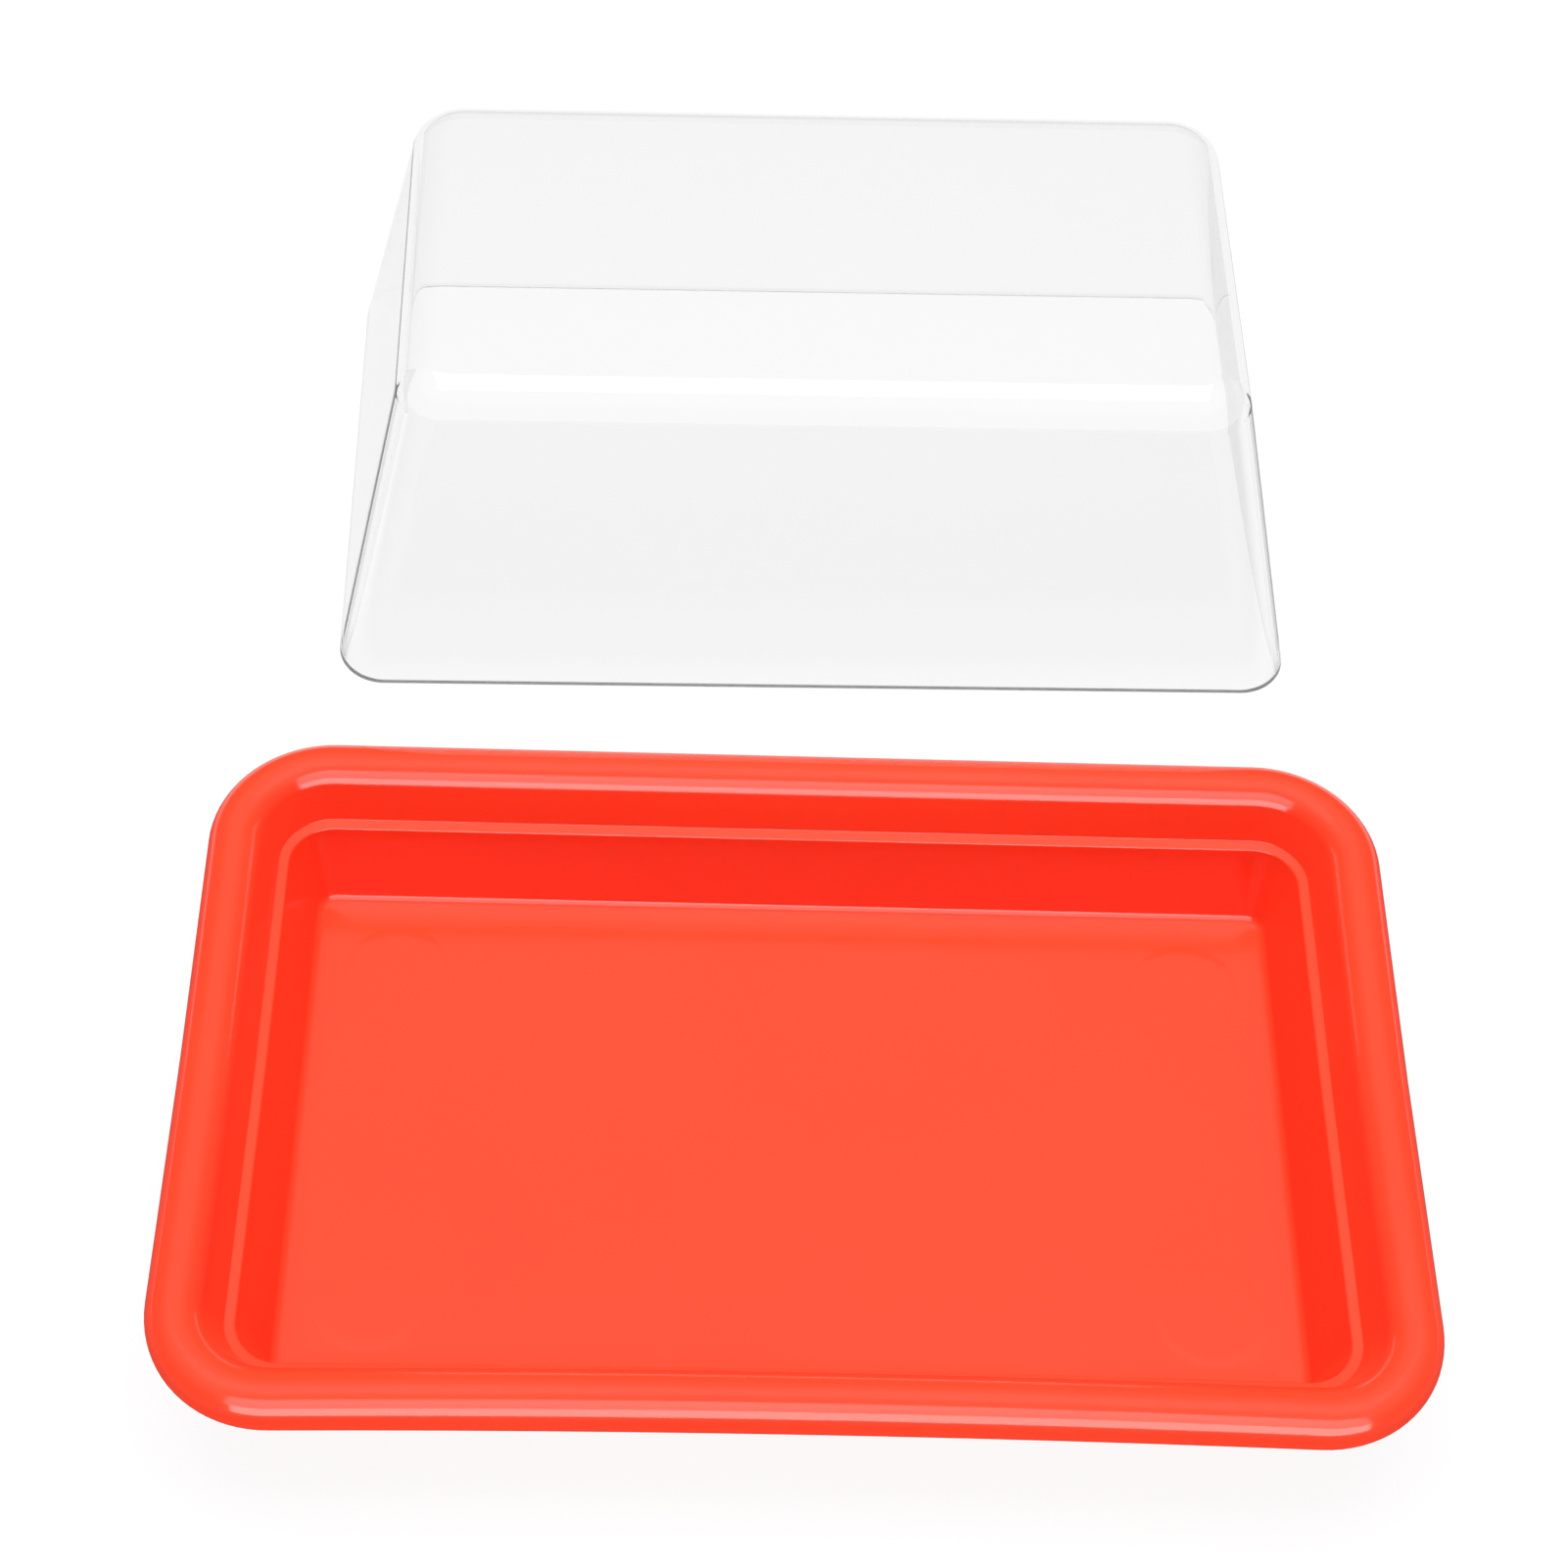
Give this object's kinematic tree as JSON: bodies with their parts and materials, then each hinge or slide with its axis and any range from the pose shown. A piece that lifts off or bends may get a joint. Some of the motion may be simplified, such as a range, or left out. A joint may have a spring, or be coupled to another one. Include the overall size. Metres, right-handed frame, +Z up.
{
  "type": "butter box",
  "caption": "Oblong butter box: a glossy orange-red plastic tray with a rolled rim, and a clear drafted lid that seats on a ledge inside it, shown taken off.",
  "frame": {"origin": "centre of the tray's flat underside, on the table", "axes": "+X along the tray's length to the right, +Y across the tray towards the lid that stands behind it, +Z up"},
  "size_m": [0.17, 0.2309, 0.0522],
  "materials": {
    "tray_plastic": "gloss",
    "clear_plastic": "clear gloss"
  },
  "bodies": {
    "tray": {"tray": "tray_plastic"},
    "lid": {"lid": "clear_plastic"}
  },
  "joints": [
    {"name": "lid_lift", "type": "slide", "parent": "tray", "child": "lid", "axis": [0, 0, 1], "range_m": [0, 0.12]}
  ]
}
